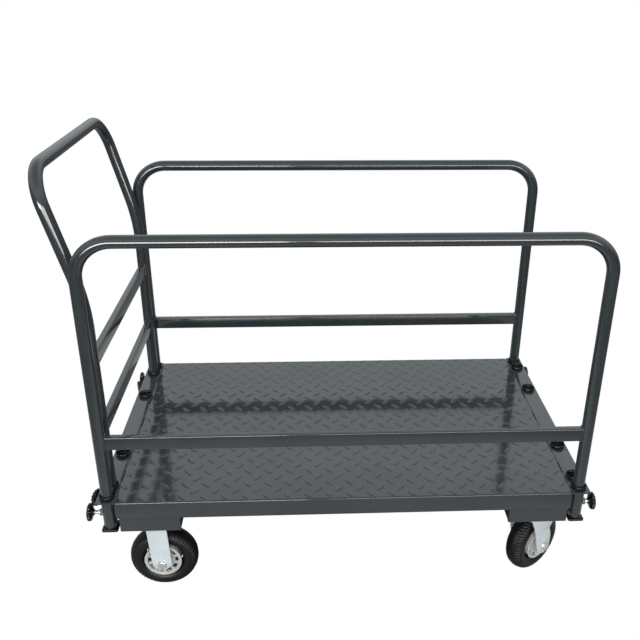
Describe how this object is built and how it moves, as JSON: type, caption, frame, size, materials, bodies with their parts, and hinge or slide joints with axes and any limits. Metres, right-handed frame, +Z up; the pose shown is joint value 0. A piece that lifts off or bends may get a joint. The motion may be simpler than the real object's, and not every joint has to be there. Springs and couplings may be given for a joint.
{
  "type": "platform cart",
  "caption": "Flat checker-plate platform cart with lift-out tube side rails, a lift-out push handle, screw-clamped sockets, and rigid and swivel casters.",
  "frame": {"origin": "point on the floor under the middle of the cart's overall box", "axes": "+X along the deck away from the push handle, +Y across the deck to its far side, +Z up"},
  "size_m": [1.415, 0.762, 1.2233],
  "materials": {
    "grey_paint": "glossy powder coat",
    "black_plastic": "moulded, satin to glossy",
    "tyre_rubber": "matt, treaded",
    "zinc_plate": "bright zinc plating",
    "rim_enamel": "satin light grey enamel"
  },
  "bodies": {
    "chassis": {"deck_pan": "grey_paint", "end_angle_left": "grey_paint", "end_angle_right": "grey_paint", "caster_channel_left": "grey_paint", "caster_channel_right": "grey_paint", "collar_left_1": "black_plastic", "collar_left_2": "black_plastic", "collar_left_3": "black_plastic", "collar_left_4": "black_plastic", "collar_left_5": "black_plastic", "collar_left_6": "black_plastic", "foot_front_left": "black_plastic", "foot_rear_left": "black_plastic", "collar_right_1": "black_plastic", "collar_right_2": "black_plastic", "collar_right_3": "black_plastic", "collar_right_4": "black_plastic", "collar_right_5": "black_plastic", "collar_right_6": "black_plastic", "foot_front_right": "black_plastic", "foot_rear_right": "black_plastic", "fork_front_left": "zinc_plate", "axle_front_left": "zinc_plate", "axle_nut_front_left": "zinc_plate", "caster_plate_front_right": "zinc_plate", "kingpin_front_right": "zinc_plate", "fork_rear_left": "zinc_plate", "axle_rear_left": "zinc_plate", "axle_nut_rear_left": "zinc_plate", "caster_plate_rear_right": "zinc_plate", "kingpin_rear_right": "zinc_plate"},
    "side_rail_front": {"side_rail_front": "grey_paint"},
    "side_rail_rear": {"side_rail_rear": "grey_paint"},
    "push_handle": {"push_handle": "grey_paint"},
    "stud_rail_front_left": {"stud_rail_front_left": "zinc_plate"},
    "knob_rail_front_left": {"knob_rail_front_left": "black_plastic"},
    "stud_handle_front": {"stud_handle_front": "zinc_plate"},
    "knob_handle_front": {"knob_handle_front": "black_plastic"},
    "stud_handle_rear": {"stud_handle_rear": "zinc_plate"},
    "knob_handle_rear": {"knob_handle_rear": "black_plastic"},
    "stud_rail_rear_left": {"stud_rail_rear_left": "zinc_plate"},
    "knob_rail_rear_left": {"knob_rail_rear_left": "black_plastic"},
    "stud_rail_front_right": {"stud_rail_front_right": "zinc_plate"},
    "knob_rail_front_right": {"knob_rail_front_right": "black_plastic"},
    "stud_rail_rear_right": {"stud_rail_rear_right": "zinc_plate"},
    "knob_rail_rear_right": {"knob_rail_rear_right": "black_plastic"},
    "wheel_front_left": {"hub_front_left": "rim_enamel", "tyre_front_left": "tyre_rubber"},
    "wheel_rear_left": {"hub_rear_left": "rim_enamel", "tyre_rear_left": "tyre_rubber"},
    "swivel_front_right": {"fork_front_right": "zinc_plate", "axle_front_right": "zinc_plate", "axle_nut_front_right": "zinc_plate"},
    "wheel_front_right": {"hub_front_right": "rim_enamel", "tyre_front_right": "tyre_rubber"},
    "swivel_rear_right": {"fork_rear_right": "zinc_plate", "axle_rear_right": "zinc_plate", "axle_nut_rear_right": "zinc_plate"},
    "wheel_rear_right": {"hub_rear_right": "rim_enamel", "tyre_rear_right": "tyre_rubber"}
  },
  "joints": [
    {"name": "side_rail_front_lift", "type": "slide", "parent": "chassis", "child": "side_rail_front", "axis": [0, 0, 1], "range_m": [0, 0.095]},
    {"name": "side_rail_rear_lift", "type": "slide", "parent": "chassis", "child": "side_rail_rear", "axis": [0, 0, 1], "range_m": [0, 0.095]},
    {"name": "push_handle_lift", "type": "slide", "parent": "chassis", "child": "push_handle", "axis": [0, 0, 1], "range_m": [0, 0.067]},
    {"name": "rail_front_left_screw_travel", "type": "slide", "parent": "chassis", "child": "stud_rail_front_left", "axis": [-1, 0, 0], "range_m": [-0.00724, 0.00326]},
    {"name": "rail_front_left_knob_turn", "type": "hinge", "parent": "stud_rail_front_left", "child": "knob_rail_front_left", "pos_m": [-0.6094, -0.354, 0.2918], "axis": [-1, 0, 0], "range_deg": [-1738.8, 781.2]},
    {"name": "handle_front_screw_travel", "type": "slide", "parent": "chassis", "child": "stud_handle_front", "axis": [-0.9336, 0.3584, 0], "range_m": [-0.00724, 0.00326]},
    {"name": "handle_front_knob_turn", "type": "hinge", "parent": "stud_handle_front", "child": "knob_handle_front", "pos_m": [-0.6094, -0.3104, 0.2918], "axis": [-0.9336, 0.3584, 0], "range_deg": [-1738.8, 781.2]},
    {"name": "handle_rear_screw_travel", "type": "slide", "parent": "chassis", "child": "stud_handle_rear", "axis": [-0.9336, -0.3584, 0], "range_m": [-0.00955, 0.00094]},
    {"name": "handle_rear_knob_turn", "type": "hinge", "parent": "stud_handle_rear", "child": "knob_handle_rear", "pos_m": [-0.6094, 0.3104, 0.2918], "axis": [-0.9336, -0.3584, 0], "range_deg": [-2293.2, 226.8]},
    {"name": "rail_rear_left_screw_travel", "type": "slide", "parent": "chassis", "child": "stud_rail_rear_left", "axis": [-1, 0, 0], "range_m": [-0.00955, 0.00094]},
    {"name": "rail_rear_left_knob_turn", "type": "hinge", "parent": "stud_rail_rear_left", "child": "knob_rail_rear_left", "pos_m": [-0.6094, 0.354, 0.2918], "axis": [-1, 0, 0], "range_deg": [-2293.2, 226.8]},
    {"name": "rail_front_right_screw_travel", "type": "slide", "parent": "chassis", "child": "stud_rail_front_right", "axis": [1, 0, 0], "range_m": [0, 0.0105]},
    {"name": "rail_front_right_knob_turn", "type": "hinge", "parent": "stud_rail_front_right", "child": "knob_rail_front_right", "pos_m": [0.6556, -0.354, 0.2918], "axis": [1, 0, 0], "range_deg": [0, 2520]},
    {"name": "rail_rear_right_screw_travel", "type": "slide", "parent": "chassis", "child": "stud_rail_rear_right", "axis": [1, 0, 0], "range_m": [-0.00347, 0.00703]},
    {"name": "rail_rear_right_knob_turn", "type": "hinge", "parent": "stud_rail_rear_right", "child": "knob_rail_rear_right", "pos_m": [0.6556, 0.354, 0.2918], "axis": [1, 0, 0], "range_deg": [-831.6, 1688.4]},
    {"name": "wheel_front_left_spin", "type": "hinge", "parent": "chassis", "child": "wheel_front_left", "pos_m": [-0.4889, -0.3, 0.095], "axis": [0, 1, 0], "continuous": true},
    {"name": "wheel_rear_left_spin", "type": "hinge", "parent": "chassis", "child": "wheel_rear_left", "pos_m": [-0.4889, 0.3, 0.095], "axis": [0, 1, 0], "continuous": true},
    {"name": "swivel_front_right_turn", "type": "hinge", "parent": "chassis", "child": "swivel_front_right", "pos_m": [0.5351, -0.3, 0.2455], "axis": [0, 0, 1], "continuous": true},
    {"name": "wheel_front_right_spin", "type": "hinge", "parent": "swivel_front_right", "child": "wheel_front_right", "pos_m": [0.57537, -0.27036, 0.095], "axis": [-0.5927, 0.8054, 0], "continuous": true},
    {"name": "swivel_rear_right_turn", "type": "hinge", "parent": "chassis", "child": "swivel_rear_right", "pos_m": [0.5351, 0.3, 0.2455], "axis": [0, 0, 1], "continuous": true},
    {"name": "wheel_rear_right_spin", "type": "hinge", "parent": "swivel_rear_right", "child": "wheel_rear_right", "pos_m": [0.58178, 0.31792, 0.095], "axis": [-0.3584, 0.9336, 0], "continuous": true}
  ],
  "couplings": [
    {"joint": "rail_front_left_screw_travel", "follows": "rail_front_left_knob_turn", "m_per_rad": 0.00023873},
    {"joint": "handle_front_screw_travel", "follows": "handle_front_knob_turn", "m_per_rad": 0.00023873},
    {"joint": "handle_rear_screw_travel", "follows": "handle_rear_knob_turn", "m_per_rad": 0.00023873},
    {"joint": "rail_rear_left_screw_travel", "follows": "rail_rear_left_knob_turn", "m_per_rad": 0.00023873},
    {"joint": "rail_front_right_screw_travel", "follows": "rail_front_right_knob_turn", "m_per_rad": 0.00023873},
    {"joint": "rail_rear_right_screw_travel", "follows": "rail_rear_right_knob_turn", "m_per_rad": 0.00023873}
  ]
}
